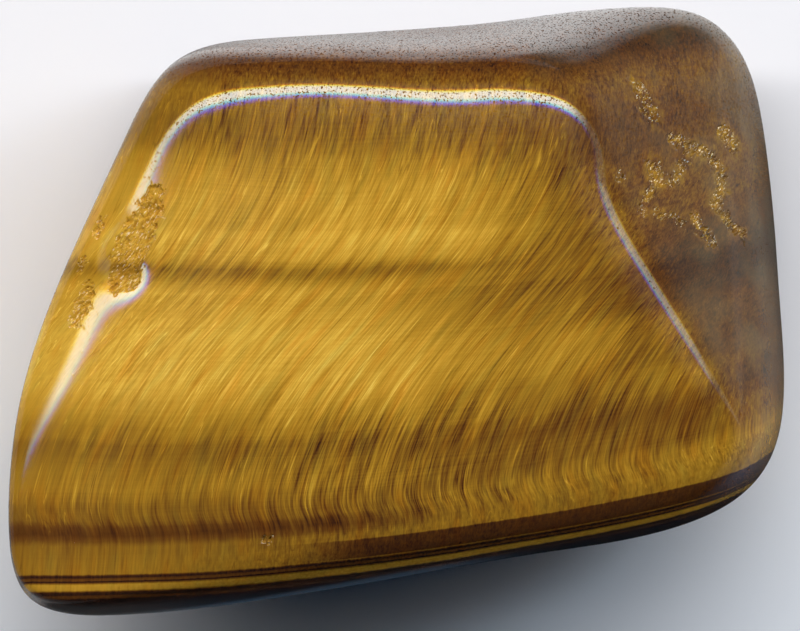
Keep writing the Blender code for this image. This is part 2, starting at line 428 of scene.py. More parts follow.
def noise_vector(tree, vector, detail=0.0):
    """Three smooth noises at once, each about 0.5."""
    node = tree.nodes.new("ShaderNodeTexNoise")
    node.noise_dimensions = "3D"
    plug(tree, vector, node.inputs["Vector"])
    node.inputs["Scale"].default_value = 1.0
    node.inputs["Detail"].default_value = detail
    return node.outputs["Color"]


# Layers and fibres, shared by the shaping trees and the material

def layer_level(x, y, z):
    """Level of a point across the layers of the stone."""
    below = z - TOP_LEVEL
    level = y + x * LAYER_SLOPE + below * LAYER_DEPTH
    level = level + x * x * LAYER_BOW + x * y * LAYER_FAN
    return level + x * below * LAYER_TWIST + below * below * LAYER_CURL


def bent(level):
    """Both hyperbolic tangents that bend the fibres."""
    bend = worked(level.tree, "TANH", (level - FIBRE_BEND_LEVEL) * (1.0 / FIBRE_BEND_REACH))
    kink = worked(level.tree, "TANH", (level - KINK_LEVEL) * (1.0 / KINK_REACH))
    return bend, kink


def fibre_track(x, level):
    """Place across the fibres: the same along each bent fibre."""
    bend, kink = bent(level)
    return x - bend * (FIBRE_LEAN * FIBRE_BEND_REACH) + kink * (KINK_LEAN * KINK_REACH)


# Geometry Nodes

def new_tree(name, sizes):
    """An empty geometry tree with named number inputs, and those inputs as amounts."""
    tree = bpy.data.node_groups.new(name, "GeometryNodeTree")
    tree.is_modifier = True
    tree.interface.new_socket("Geometry", in_out="INPUT", socket_type="NodeSocketGeometry")
    tree.interface.new_socket("Geometry", in_out="OUTPUT", socket_type="NodeSocketGeometry")
    for label, value in sizes.items():
        socket = tree.interface.new_socket(label, in_out="INPUT", socket_type="NodeSocketFloat")
        socket.default_value = value
    entry = tree.nodes.new("NodeGroupInput")
    amounts = {label: Amount(tree, entry.outputs[label]) for label in sizes}
    return tree, entry, amounts


def position(tree):
    """Place of each point, in millimetres, as one vector."""
    node = tree.nodes.new("GeometryNodeInputPosition")
    return scaled_vector(tree, node.outputs[0], 1.0 / MM)


def facing(azimuth, tilt):
    """Unit direction at an azimuth, tilted away from straight up, as three amounts."""
    turn = worked(azimuth.tree, "RADIANS", azimuth)
    lean = worked(tilt.tree, "RADIANS", tilt)
    return cosine(turn) * sine(lean), sine(turn) * sine(lean), cosine(lean)


def face(place, direction, through):
    """Signed distance from a flat face through a point."""
    parts = [(p - t) * d for p, t, d in zip(place, through, direction)]
    return parts[0] + parts[1] + parts[2]


def sloping_face(place, sizes, label):
    """A face that leaves the level of the top at a distance from the centre."""
    turn = worked(place[0].tree, "RADIANS", sizes[label + " azimuth"])
    distance = sizes[label + " distance"]
    edge = (cosine(turn) * distance, sine(turn) * distance, sizes["Height"])
    return face(place, facing(sizes[label + " azimuth"], sizes[label + " tilt"]), edge)


def plan_hump(place, spot, radius, height):
    """Smooth hump over a spot of the plan."""
    away = (place[0] - spot[0]) ** 2.0 + (place[1] - spot[1]) ** 2.0
    return worked(place[0].tree, "EXPONENT", away / (radius * radius) * -1.0) * height


def hollow(place, centre, radius, depth):
    """Smooth hollow round a point in space."""
    away = (place[0] - centre[0]) ** 2.0 + (place[1] - centre[1]) ** 2.0 + (place[2] - centre[2]) ** 2.0
    return worked(place[0].tree, "EXPONENT", away * (-1.0 / radius**2)) * depth


def wall(place, sizes):
    """The side wall: the sides joined round the outline, bulging at the belt."""
    outline = None
    for label, *_ in SIDES:
        turn = worked(place[0].tree, "RADIANS", sizes[label + " side azimuth"])
        distance = sizes[label + " side distance"]
        at_belt = (cosine(turn) * distance, sine(turn) * distance, sizes["Belt level"])
        side = face(place, facing(sizes[label + " side azimuth"], sizes[label + " side tilt"]), at_belt)
        outline = side if outline is None else rounded(outline, side, sizes[label + " side corner"])
    return outline + (place[2] - sizes["Belt level"]) ** 2.0 / (sizes["Wall bulge radius"] * 2.0)


def upper_rounding(place, sizes):
    """Reach of the rounding between the upper faces and the wall, by place."""
    at_crest = sizes["Crest rounding"] + sizes["Crest rounding gain"] * place[0]
    to_crest = smooth_step(place[1], *FOOT_TO_CREST)
    middle = sizes["Foot rounding"] + to_crest * (at_crest - sizes["Foot rounding"])
    rounding = sizes["Left rounding"]
    rounding = rounding + smooth_step(place[0], *LEFT_END) * (middle - rounding)
    return rounding + smooth_step(place[0], *RIGHT_END) * (sizes["Right rounding"] - rounding)


def underside(place, sizes, off_centre):
    """The rounded underside with its three ground faces."""
    tree = place[0].tree
    below = off_centre / (sizes["Underside radius"] * 2.0) - place[2]
    for azimuth, tilt, start in UNDER_FACES:
        turn = math.radians(azimuth)
        lean = math.radians(tilt)
        direction = (math.cos(turn) * math.sin(lean), math.sin(turn) * math.sin(lean), math.cos(lean))
        below = rounded(below, face(place, direction, start), sizes["Under face rounding"])
    return below


def polished_body(place, sizes):
    """The tumbled stone before anything chipped off it. Negative inside."""
    off_centre = place[0] * place[0] + place[1] * place[1]
    top = place[2] - sizes["Height"] + off_centre / (sizes["Top dome radius"] * 2.0)
    to_crest = smooth_step(place[1], *BEVEL_FOOT_TO_CREST)
    rolling = sizes["Bevel crest rounding"] - sizes["Bevel foot rounding"]
    rolling = sizes["Bevel foot rounding"] + to_crest * rolling
    crown = rounded(top, sloping_face(place, sizes, "Bevel"), rolling)
    shoulder = plan_hump(place, SHOULDER_SPOT, sizes["Shoulder radius"], sizes["Shoulder height"])
    crown = rounded(crown, sloping_face(place, sizes, "Slope") - shoulder, sizes["Slope rounding"])
    body = rounded(wall(place, sizes), crown, upper_rounding(place, sizes))
    body = rounded(body, underside(place, sizes, off_centre), sizes["Underside rounding"])
    for _, centre, radius, depth in HOLLOWS:
        body = body + hollow(place, centre, radius, depth)
    return body


def body_sizes():
    """Every named size of the polished body."""
    sizes = dict(BODY_SIZES)
    for label, azimuth, tilt, distance, rounding in SIDES:
        sizes[label + " side azimuth"] = azimuth
        sizes[label + " side tilt"] = tilt
        sizes[label + " side distance"] = distance
        sizes[label + " side corner"] = rounding
    return sizes


def skin_tree():
    """Tree that lays a rough closed skin on the polished body, along lines from its heart."""
    tree, entry, sizes = new_tree("polished_skin", body_sizes())
    start = tree.nodes.new("GeometryNodeRepeatInput")
    end = tree.nodes.new("GeometryNodeRepeatOutput")
    start.pair_with_output(end)
    start.inputs["Iterations"].default_value = RELAX_STEPS
    tree.links.new(entry.outputs["Geometry"], start.inputs["Geometry"])
    here = position(tree)
    outside = polished_body(separated(tree, here), sizes)
    from_heart = vector_worked(tree, "SUBTRACT", here, HEART).outputs[0]
    ray = vector_worked(tree, "NORMALIZE", from_heart).outputs[0]
    step = scaled_vector(tree, ray, outside * (-RELAX_SHARE * MM))
    move = tree.nodes.new("GeometryNodeSetPosition")
    tree.links.new(start.outputs["Geometry"], move.inputs["Geometry"])
    tree.links.new(step, move.inputs["Offset"])
    tree.links.new(move.outputs["Geometry"], end.inputs["Geometry"])
    leave = tree.nodes.new("NodeGroupOutput")
    tree.links.new(end.outputs["Geometry"], leave.inputs["Geometry"])
    return tree


def store(tree, geometry, name, value):
    """Keep a number on every point under a name. Gives the geometry socket."""
    node = tree.nodes.new("GeometryNodeStoreNamedAttribute")
    node.data_type = "FLOAT"
    node.domain = "POINT"
    tree.links.new(geometry, node.inputs["Geometry"])
    node.inputs["Name"].default_value = name
    plug(tree, value, node.inputs["Value"])
    return node.outputs["Geometry"]


def distance(tree, here, centre):
    return Amount(tree, vector_worked(tree, "DISTANCE", here, centre).outputs["Value"])


def scoop_depth(tree, here, spots):
    """Deepest of the shallow scoops at each point, negative away from them all."""
    deepest = None
    for centre, width, depth in spots:
        away = distance(tree, here, centre)
        scoop = depth - away * away * (depth / (width / 2.0) ** 2)
        deepest = scoop if deepest is None else rounded(deepest, scoop, SCOOP_ROUNDING)
    return deepest


def splinter_steps(tree, place):
    """A depth from 0 to 1 for every splinter, the same all over it."""
    cells = tree.nodes.new("ShaderNodeTexVoronoi")
    cells.feature = "F1"
    tree.links.new(place, cells.inputs["Vector"])
    depth, _, _ = separated(tree, cells.outputs["Color"])
    return depth


def worn_dip(tree, here, sizes):
    """Depth of the dip that tumbling wore round the largest break."""
    away = distance(tree, here, WORN_SPOT) / sizes["Worn reach"]
    return worked(tree, "EXPONENT", away ** 2.0 * -1.0) * sizes["Worn depth"]


def broken_away(tree, here, sizes, spots):
    """Depth of the breaks below the polish, a mask of their insides and one of what is near."""
    x, y, z = separated(tree, here)
    level = layer_level(x, y, z)
    track = fibre_track(x, level)
    ragged = noise_vector(tree, scaled_vector(tree, here, 1.0 / sizes["Ragged pitch"]), 1.0)
    ragged = vector_worked(tree, "SUBTRACT", ragged, (0.5, 0.5, 0.5)).outputs[0]
    ragged = scaled_vector(tree, ragged, sizes["Ragged edge"] * 2.0)
    scoop = scoop_depth(tree, vector_worked(tree, "ADD", here, ragged).outputs[0], spots)

    pitch = sizes["Splinter pitch"]
    cell = combined(tree, track / pitch, level / (pitch * SPLINTER_LENGTH), z / (pitch * SPLINTER_HEIGHT))
    splinters = splinter_steps(tree, cell)
    crumbs = noise(tree, scaled_vector(tree, here, CRUMBS_PER_MM), 2.0, 0.6) - 0.5
    edge = scoop + (splinters - 0.5) * sizes["Broken edge"]
    inside = smooth_step(edge + crumbs * sizes["Crumbled edge"], 0.0, 0.025)
    in_ring = smooth_step(x, *SCAR_TO_RING)
    floor = larger(edge, 0.0) * sizes["Scoop share"] + crumbs * sizes["Crumb depth"] * in_ring
    depth = (floor + splinters * sizes["Splinter depth"] + sizes["Least depth"]) * inside
    near = smooth_step(edge + crumbs * sizes["Crumbled edge"], -0.3, 0.0)
    return larger(depth, worn_dip(tree, here, sizes)), inside, near


def chip_tree(spots, material):
    """Tree that breaks the chips out of the skin, grinds its rest and gives it its material."""
    tree, entry, sizes = new_tree("chips_and_rest", CHIP_SIZES)
    depth, inside, near = broken_away(tree, position(tree), sizes, spots)
    outward = tree.nodes.new("GeometryNodeInputNormal").outputs[0]
    outward_x, _, _ = separated(tree, outward)
    geometry = store(tree, entry.outputs["Geometry"], "chip", inside)
    geometry = store(tree, geometry, "near_chip", near)
    # Painted light: a mask of the faces that turn to the left, where the silk is painted lighter.
    geometry = store(tree, geometry, "painted_light_left", smooth_step(outward_x, -0.95, -0.6, 1.0, 0.0))
    move = tree.nodes.new("GeometryNodeSetPosition")
    tree.links.new(geometry, move.inputs["Geometry"])
    tree.links.new(scaled_vector(tree, outward, depth * -MM), move.inputs["Offset"])
    geometry = ground_rest(tree, move.outputs["Geometry"], sizes["Rest grind"])
    realize = tree.nodes.new("GeometryNodeRealizeInstances")
    tree.links.new(geometry, realize.inputs["Geometry"])
    dress = tree.nodes.new("GeometryNodeSetMaterial")
    dress.inputs["Material"].default_value = material
    tree.links.new(realize.outputs["Geometry"], dress.inputs["Geometry"])
    leave = tree.nodes.new("NodeGroupOutput")
    tree.links.new(dress.outputs["Geometry"], leave.inputs["Geometry"])
    return tree


def ground_rest(tree, geometry, grind):
    """Flatten the lowest part of the stone to a face that it rests on."""
    place = tree.nodes.new("GeometryNodeInputPosition").outputs[0]
    x, y, z = separated(tree, place)
    lowest = tree.nodes.new("GeometryNodeAttributeStatistic")
    lowest.data_type = "FLOAT"
    tree.links.new(geometry, lowest.inputs["Geometry"])
    plug(tree, z, lowest.inputs["Attribute"])
    floor_level = Amount(tree, lowest.outputs["Min"]) + grind * MM
    move = tree.nodes.new("GeometryNodeSetPosition")
    tree.links.new(geometry, move.inputs["Geometry"])
    tree.links.new(combined(tree, x, y, larger(z, floor_level)), move.inputs["Position"])
    return move.outputs["Geometry"]


def shaped(mesh, tree, sizes):
    """The mesh that a tree makes of another, with the sizes set by their sockets' identifiers."""
    carrier = bpy.data.objects.new("carrier", mesh)
    modifier = carrier.modifiers.new("shape", "NODES")
    modifier.node_group = tree
    for item in tree.interface.items_tree:
        if item.in_out == "INPUT" and item.name in sizes:
            modifier[item.identifier] = sizes[item.name]
    bpy.context.scene.collection.objects.link(carrier)
    evaluated = carrier.evaluated_get(bpy.context.evaluated_depsgraph_get())
    result = bpy.data.meshes.new_from_object(evaluated)
    carrier.modifiers.remove(modifier)
    bpy.data.objects.remove(carrier, do_unlink=True)
    return result


def first_skin():
    """An even closed skin round the heart of the stone, in metres."""
    skin = bmesh.new()
    bmesh.ops.create_icosphere(skin, subdivisions=ICOSPHERE_LEVEL, radius=1.0)
    for vertex in skin.verts:
        vertex.co = Vector([(h + c * r) * MM for h, c, r in zip(HEART, vertex.co, REACH_BOX)])
    mesh = bpy.data.meshes.new("first_skin")
    skin.to_mesh(mesh)
    skin.free()
    return mesh


def refined(mesh, wanted):
    """The mesh with the wanted edges halved."""
    skin = bmesh.new()
    skin.from_mesh(mesh)
    skin.normal_update()
    edges = [edge for edge in skin.edges if wanted(edge)]
    bmesh.ops.subdivide_edges(skin, edges=edges, cuts=1, use_grid_fill=True)
    bmesh.ops.triangulate(skin, faces=skin.faces[:])
    finer = bpy.data.meshes.new("finer_skin")
    skin.to_mesh(finer)
    skin.free()
    return finer


def is_sharp(edge):
    """True where the skin turns too far across an edge."""
    return edge.calc_face_angle(0.0) > SHARP_EDGE


def along_break(points, spacing):
    """Places along the line of a break, no further apart than the spacing."""
    places = [points[0]]
    for start, end in zip(points, points[1:]):
        steps = math.ceil(math.dist(start, end) / spacing)
        for step in range(1, steps + 1):
            share = step / steps
            places.append(tuple(a + (b - a) * share for a, b in zip(start, end)))
    return places


def chip_spots(mesh):
    """Scoops along every break, with their centres put on the skin, seen from above."""
    skin = bmesh.new()
    skin.from_mesh(mesh)
    tree = BVHTree.FromBMesh(skin)
    skin.free()
    above = 2.0 * BODY_SIZES["Height"] * MM
    spots = []
    for points, width, depth in BREAKS:
        for x, y in along_break(points, width * SPOT_SPACING):
            hit, *_ = tree.ray_cast(Vector((x * MM, y * MM, above)), Vector((0.0, 0.0, -1.0)))
            spots.append((tuple(hit / MM), width, depth))
    return spots


def near_chip(spots):
    """A test for edges that lie in or close beside a chip."""
    centres = np.array([centre for centre, _, _ in spots])
    reach = np.array([width / 2.0 for _, width, _ in spots]) + CHIP_MARGIN

    def wanted(edge):
        middle = np.array((edge.verts[0].co + edge.verts[1].co)[:]) / (2.0 * MM)
        return bool((np.linalg.norm(centres - middle, axis=1) < reach).any())

    return wanted


def placed(mesh):
    """Move the finished skin so that it fills the box of the plain solid."""
    places = np.empty(len(mesh.vertices) * 3)
    mesh.vertices.foreach_get("co", places)
    places = places.reshape(-1, 3)
    low, high = places.min(axis=0), places.max(axis=0)
    box_low, box_high = (np.array(corner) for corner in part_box("stone"))
    scale = (box_high - box_low) / (high - low)
    places = box_low + (places - low) * scale
    mesh.vertices.foreach_set("co", places.ravel())
    return (high + low) / 2.0 / MM


def make_stone(material):
    """The whole polished and chipped stone, and the plan offset of its form."""
    skin = skin_tree()
    sizes = body_sizes()
    mesh = shaped(first_skin(), skin, sizes)
    for _ in range(SHARP_ROUNDS):
        mesh = shaped(refined(mesh, is_sharp), skin, sizes)
    spots = chip_spots(mesh)
    for _ in range(CHIP_ROUNDS):
        mesh = refined(mesh, near_chip(spots))
    mesh = shaped(mesh, skin, sizes)
    mesh = shaped(mesh, chip_tree(spots, material), CHIP_SIZES)
    offset = placed(mesh)
    mesh.name = "stone_skin"
    mesh.shade_smooth()
    stone = bpy.data.objects.new("stone_skin", mesh)
    bpy.context.scene.collection.objects.link(stone)
    return stone, offset


# Material

Spot = namedtuple("Spot", "here x y z level track")


def ramp(tree, amount, stops, low=0.0, high=1.0):
    """Colour ramp whose stops are given between low and high."""
    node = tree.nodes.new("ShaderNodeValToRGB")
    span = high - low
    plug(tree, (amount - low) * (1.0 / span), node.inputs["Fac"])
    elements = node.color_ramp.elements
    while len(elements) < len(stops):
        elements.new(0.5)
    for element, (place, colour) in zip(elements, stops):
        element.position = (place - low) / span
        if isinstance(colour, float):
            colour = (colour, colour, colour)
        element.color = (*colour, 1.0)
    return node.outputs["Color"]


def layer_shares(tree, level):
    """Share of gold by the layer alone."""
    lower = ramp(tree, level, GOLD_SHARES, GOLD_SHARES[0][0], GOLD_SHARES[-1][0])
    upper = ramp(tree, level, UPPER_SHARES, UPPER_SHARES[0][0], UPPER_SHARES[-1][0])
    above = worked(tree, "GREATER_THAN", level, UPPER_SHARES[0][0])
    lower_x, _, _ = separated(tree, lower)
    upper_x, _, _ = separated(tree, upper)
    return lower_x * (1.0 - above) + upper_x * above


def fibres(tree, track, level, z, pitch, length, detail=1.0, start=0.0):
    """Noise drawn out along the bent fibres, about 0."""
    place = combined(tree, track / pitch + start, level / length + start, z / (pitch * 1.2))
    return noise(tree, place, detail, 0.55) - 0.5


def threads(tree, track, level, z, pitch, length, start):
    """Thin broken threads that run along the fibres, from 0 to 1."""
    wander = fibres(tree, track, level, z, pitch, length, 1.0, start)
    line = smooth_step(worked(tree, "ABSOLUTE", wander), 0.0, 0.03, 1.0, 0.0)
    gaps = fibres(tree, track, level, z, pitch * 1.3, length * 0.35, 0.0, start + 17.0)
    return line * smooth_step(gaps, 0.0, 0.16)


def layered_share(tree, x, y, level):
    """Share of gold by layer, with its gold band and the dark wedge, and painted shade: the right side
    and its slope darker where the silk's sheen turns from the lamp.
    """
    share = layer_shares(tree, level)
    low = smooth_step(level, 0.5, 2.5, 1.0, 0.0) * smooth_step(level, -7.9, -6.9)
    high = smooth_step(level, 0.5, 2.5)
    middle = smooth_step(level, -1.9, -0.7) * smooth_step(level, 0.8, 2.2, 1.0, 0.0)
    filled = smooth_step(x, -0.5, 6.0) * smooth_step(level, 0.7, 1.3)
    filled = filled * smooth_step(level, 2.3, 3.0, 0.6, 0.0)
    share = share + (FILLED_SEAM_SHARE - share) * filled
    # Painted shade: the silk darkened towards the right, where its fibres turn from the lamp and lose
    # their sheen.
    dark_end = smooth_step(x, 7.5, 10.5) * smooth_step(level, -4.5, -3.0) * 0.26
    dark_end = dark_end - smooth_step(level, -5.9, -5.3) * smooth_step(level, -4.6, -3.6, 1.0, 0.0) * 0.12
    lower_painted_shade = 1.0 - smooth_step(x, -3.5, 6.5) * low * (middle * 0.16 + 0.36 + dark_end)
    high = high * smooth_step(level, 1.5, 3.5, 0.52, 0.62) * smooth_step(level, 6.0, 8.5, 1.0, 0.32)
    upper_painted_shade = 1.0 - smooth_step(x, 1.5, 8.5) * high
    # Painted shade on the sloping face, where the fibres meet the surface end on and the silk loses its
    # sheen.
    slope_painted_shade = past_edge(x, y, "Slope") * smooth_step(level, -6.8, -4.8)
    slope_painted_shade = 1.0 - slope_painted_shade * smooth_step(level, 1.5, 4.0, 0.56, 0.3)
    left_end = smooth_step(x, -11.0, -7.0, 0.1, 0.0) * smooth_step(level, -8.6, -8.2)
    left_end = left_end * smooth_step(level, -6.0, -5.0, 1.0, 0.0)
    share = share * lower_painted_shade * upper_painted_shade * slope_painted_shade * (1.0 + left_end)
    band = smooth_step(x, -3.0, 5.0) * smooth_step(level, -7.9, -7.1, 1.0, 0.0)
    band_share = smooth_step(x, 8.0, 13.0, 0.42, 0.52)
    share = share + (band_share - share) * band * smooth_step(level, -9.5, -9.4)
    wedge = smooth_step(x, -5.5, -1.0) * smooth_step(level, -10.3, -10.24)
    wedge = wedge * smooth_step(level, -9.5, -9.42, 1.0, 0.0)
    return share + (WEDGE_SHARE - share) * wedge


def past_edge(x, y, label):
    """0 on the top and 1 on a sloping face beside it."""
    turn = math.radians(BODY_SIZES[label + " azimuth"])
    beyond = x * math.cos(turn) + y * math.sin(turn) - BODY_SIZES[label + " distance"]
    return smooth_step(beyond, 0.0, 1.6)


def spot_in_stone(tree):
    """Where a point lies in the stone: its place, wavy layer and fibre."""
    here = in_millimetres(tree)
    x, y, z = separated(tree, here)
    flat_level = layer_level(x, y, z)
    waves = noise(tree, scaled_vector(tree, here, 0.16), 1.0) - 0.5
    level = flat_level + waves * smooth_step(flat_level, -9.0, -6.0, 0.1, 0.35)
    return Spot(here, x, y, z, level, fibre_track(x, level))


def silk_share(tree, spot):
    """Share of gold at a point: its layer, drawn out in fibres, bundles and threads."""
    x, y, level = spot.x, spot.y, spot.level
    run = (tree, spot.track, level, spot.z)
    strands = fibres(*run, *STRANDS)
    seams = noise(tree, combined(tree, x / 7.0, level / 0.1, spot.z / 7.0), 2.0, 0.6) - 0.5

    ragged = smooth_step(level, -9.4, -9.0, 0.05, 0.3) + smooth_step(level, -8.2, -7.0, 0.0, 0.2)
    share = layered_share(tree, x, y, level + strands * ragged)
    patches = smooth_step(x, -4.0, 3.0) * smooth_step(level, -4.0, -2.8, 1.0, 0.0)
    patches = patches * smooth_step(level, -7.7, -7.2)
    streaks = fibres(*run, *HAIR) * 0.42 + fibres(*run, *FINE_FIBRES) * 0.75 + strands * 0.55
    streaks = streaks + fibres(*run, *BUNDLES) * (patches * 0.28 + 0.22) + seams * 0.16
    calm = smooth_step(x, -9.0, -3.0, 0.55, 1.0) * smooth_step(level, -4.0, -3.0, 1.0, 0.0)
    calm = calm * smooth_step(x, 3.0, 6.0, 1.0, 0.75) + smooth_step(level, -4.0, -3.0)
    streaks = streaks * calm * (1.0 - past_edge(x, y, "Bevel") * 0.6)
    streaks = streaks * smooth_step(level, -4.6, -3.2, 1.25, 1.0)
    streaks = streaks * smooth_step(level, -9.2, -8.2, 0.6, 1.0)
    share = share + streaks * smooth_step(share, 0.0, 0.5, 0.2, 1.0)

    bright = threads(*run, *BRIGHT_THREADS) * smooth_step(level, -9.4, -9.0)
    share = share + bright * smooth_step(share, 0.05, 0.5, 0.0, 0.26)
    dark = threads(*run, *DARK_THREADS) * calm
    return share - dark * smooth_step(share, 0.05, 0.5, 0.0, 0.16)


def silk_colour(tree, spot, share):
    """Colour of the silk, with its shifts of hue, a painted glow round the ring of chips, painted light
    on the left side and a painted grey sheen on the slope.
    """
    # Painted glow: the silk lighter in patches round the ring of chips, as light caught in the cracks.
    painted_glow = Amount(tree, attribute(tree, "near_chip")) * smooth_step(spot.x, 0.0, 3.0)
    painted_glow = painted_glow * smooth_step(noise(tree, scaled_vector(tree, spot.here, 1.6), 2.0), 0.4, 0.6)
    share = share + painted_glow * 0.16
    # Painted light: the silk lighter on faces that turn to the left.
    share = share * (1.0 + Amount(tree, attribute(tree, "painted_light_left")) * 0.2)
    colour = ramp(tree, share, SILK_COLOURS, 0.0, SILK_COLOURS[-1][0])
    hue = fibres(tree, spot.track, spot.level, spot.z, *HUE_BUNDLES)
    colour = mixed(tree, smooth_step(hue, 0.0, 0.25, 0.0, 0.8), colour, REDDER, "MULTIPLY")
    colour = mixed(tree, smooth_step(hue, -0.25, 0.0, 0.8, 0.0), colour, GREENER, "MULTIPLY")
    clouds = noise(tree, scaled_vector(tree, spot.here, 0.45), 1.0)
    # Painted reflection: a grey sheen in clouds on the sloping face, stronger to the right.
    painted_sheen = smooth_step(spot.x, 8.5, 15.5, 0.06, 0.26) * smooth_step(clouds, 0.35, 0.65, 0.5, 1.5)
    painted_sheen = painted_sheen * past_edge(spot.x, spot.y, "Slope") * smooth_step(spot.level, -6.8, -4.8)
    return mixed(tree, painted_sheen, colour, PAINTED_SHEEN_COLOUR)


def broken_colour(tree, spot, chip, colour):
    """The silk with the colours of its breaks laid over it, strongest in the scar, and painted glints of
    the lamp on their splinters.
    """
    track, level, z = spot.track, spot.level, spot.z
    crumbs = noise(tree, combined(tree, track * 7.0, level * 1.4, z * 4.0), 2.0, 0.6)
    broken = ramp(tree, crumbs, BROKEN_COLOURS)
    in_scar = smooth_step(spot.x, *SCAR_TO_RING, 1.0, 0.0)
    patchy = noise(tree, scaled_vector(tree, spot.here, 2.1), 1.0)
    patchy = larger(smooth_step(patchy, 0.4, 0.55, 0.15, 1.0), in_scar)
    seam = smooth_step(worked(tree, "ABSOLUTE", level - SEAM_LEVEL), 0.1, 0.3, 0.2, 0.55)
    cover = smooth_step(spot.x, *SCAR_TO_RING, seam * 0.8, 0.5)
    colour = mixed(tree, chip * patchy * cover, colour, broken)
    # Painted highlights: glints of the lamp on the splinters.
    glints = noise(tree, combined(tree, track * 11.0, level * 4.5, z * 11.0), 1.0, 0.6)
    glints = smooth_step(glints, 0.61, 0.68, 0.0, 0.9) * (0.4 + patchy * 0.6)
    glints = glints * smooth_step(spot.x, *SCAR_TO_RING, 0.5, 1.0)
    return mixed(tree, chip * glints, colour, GLINT_COLOUR)


def polish(tree, spot, chip):
    """Share of clear polish: none in the pits, little in the breaks and on the dull patch."""
    pits = noise(tree, scaled_vector(tree, spot.here, 1.0 / PIT_PITCH), 1.0, 0.6)
    closing = smooth_step(spot.level, 2.0, 6.5, 0.06, 0.0)
    pits = smooth_step(pits + closing, 0.37, 0.43)
    unbroken = 1.0 - chip * smooth_step(spot.x, *SCAR_TO_RING, 0.85, 0.6)
    return pits * unbroken * (1.0 - dulled(spot.x, spot.y) * 0.92)


def stone_material():
    """Gold and brown silk under a clear polish."""
    material = bpy.data.materials.new("tiger_eye_silk")
    material.use_nodes = True
    tree = material.node_tree
    shader = tree.nodes["Principled BSDF"]
    spot = spot_in_stone(tree)
    chip = Amount(tree, attribute(tree, "chip"))
    colour = silk_colour(tree, spot, silk_share(tree, spot))
    colour = broken_colour(tree, spot, chip, colour)
    # Painted sparkles, thicker towards the right.
    colour = specked(tree, spot.here, colour, smooth_step(spot.x, 6.0, 11.0, 0.12, 1.0))
    tree.links.new(colour, shader.inputs["Base Color"])
    plug(tree, polish(tree, spot, chip), shader.inputs["Coat Weight"])
    shader.inputs["Coat IOR"].default_value = COAT_IOR
    shader.inputs["Coat Roughness"].default_value = COAT_ROUGHNESS
    shader.inputs["Roughness"].default_value = SILK_ROUGHNESS
    shader.inputs["Metallic"].default_value = 0.0
    shader.inputs["Specular IOR Level"].default_value = 0.0
    material.diffuse_color = STONE_COLOUR
    return material


def dulled(x, y):
    """1 on the patch beside the largest break where the polish is worn dull."""
    along = y - DULL_SPOT[1]
    across = x - DULL_SPOT[0] - along * DULL_SLANT
    away = worked(x.tree, "SQRT", (across / DULL_REACH[0]) ** 2.0 + (along / DULL_REACH[1]) ** 2.0)
    return smooth_step(away, 0.8, 1.15, 1.0, 0.0)


def specked(tree, here, colour, density):
    """Tiny pale specks scattered in the polish: painted sparkles of the lamp on tiny facets."""
    cells = tree.nodes.new("ShaderNodeTexVoronoi")
    cells.feature = "F1"
    plug(tree, scaled_vector(tree, here, 1.0 / SPECK_PITCH), cells.inputs["Vector"])
    near = Amount(tree, cells.outputs["Distance"])
    kind, _, _ = separated(tree, cells.outputs["Color"])
    picked = smooth_step(kind, 0.0, 0.02, 1.0, 0.0) + smooth_step(kind, 0.0, 0.12, 1.0, 0.0) * density
    painted_sparkle = smooth_step(near, 0.02, 0.05, 1.0, 0.0) * smaller(picked, 1.0)
    return mixed(tree, painted_sparkle * 0.85, colour, PAINTED_SPARKLE_COLOUR)


def attribute(tree, name):
    """Output of a number kept on the points."""
    node = tree.nodes.new("ShaderNodeAttribute")
    node.attribute_type = "GEOMETRY"
    node.attribute_name = name
    return node.outputs["Fac"]


def mixed(tree, share, first, second, blend="MIX"):
    """Mix of two colours."""
    node = tree.nodes.new("ShaderNodeMix")
    node.data_type = "RGBA"
    node.blend_type = blend
    plug(tree, share, node.inputs["Factor"])
    plug(tree, first, node.inputs["A"])
    plug(tree, second, node.inputs["B"])
    return next(socket for socket in node.outputs if socket.type == "RGBA")


# Stage

def floor_gleam(tree):
    """Brightness and tint of the table top's painted reflection in the polish: it glows strongly beside
    the crest only, bluish in front.
    """
    x, y, _ = separated(tree, in_millimetres(tree))
    reach = smooth_step(x, 3.0, 10.5, 40.0, 6.5) + smooth_step(x, 16.0, 24.0, 0.0, 6.0)
    fall = 1.0 / ((larger(y - 27.0, 0.0) / reach) ** 2.0 + 1.0)
    across = smooth_step(x, -17.0, -4.0, 0.12, 1.0) * smooth_step(x, 14.0, 32.0, 1.0, 0.1)
    across = across * smooth_step(x, 3.0, 8.0, 1.0, 1.25)
    beside_crest = smooth_step(y, 6.0, 23.0) * fall * across * FLOOR_GLEAM
    heading = x / worked(tree, "SQRT", x * x + y * y)
    beside_slope = smooth_step(x, 14.0, 28.0) * smooth_step(heading, 0.5, 0.9, 0.0, 0.42)
    beside_slope = beside_slope * smooth_step(y / larger(x, 1.0), -1.5, -0.5)
    from_bevel = larger(y + 4.0, 0.0) * 0.42 - 16.2 - x
    beside_bevel = smooth_step(from_bevel, -1.0, 0.2) * smooth_step(y, -14.0, 4.0, 0.14, 0.4)
    before_foot = smooth_step(y, -12.0, -13.5) * smooth_step(x, -13.0, -3.0, 0.018, 0.0)
    from_foot = y - x * 0.1 + 11.5
    under_foot = smooth_step(from_foot, -1.3, -0.7) * smooth_step(from_foot, -0.3, 0.2, 0.05, 0.0)
    under_foot = under_foot * smooth_step(x, 1.0, 7.0, 1.0, 0.0)
    gleam = beside_crest + beside_slope + beside_bevel + before_foot + under_foot + 0.009
    white = larger(smooth_step(y, -12.0, -6.0), smooth_step(x, -6.0, -13.0, 0.0, 0.9))
    tint = mixed(tree, white, BLUE_SHADE, WHITE)
    return gleam, tint


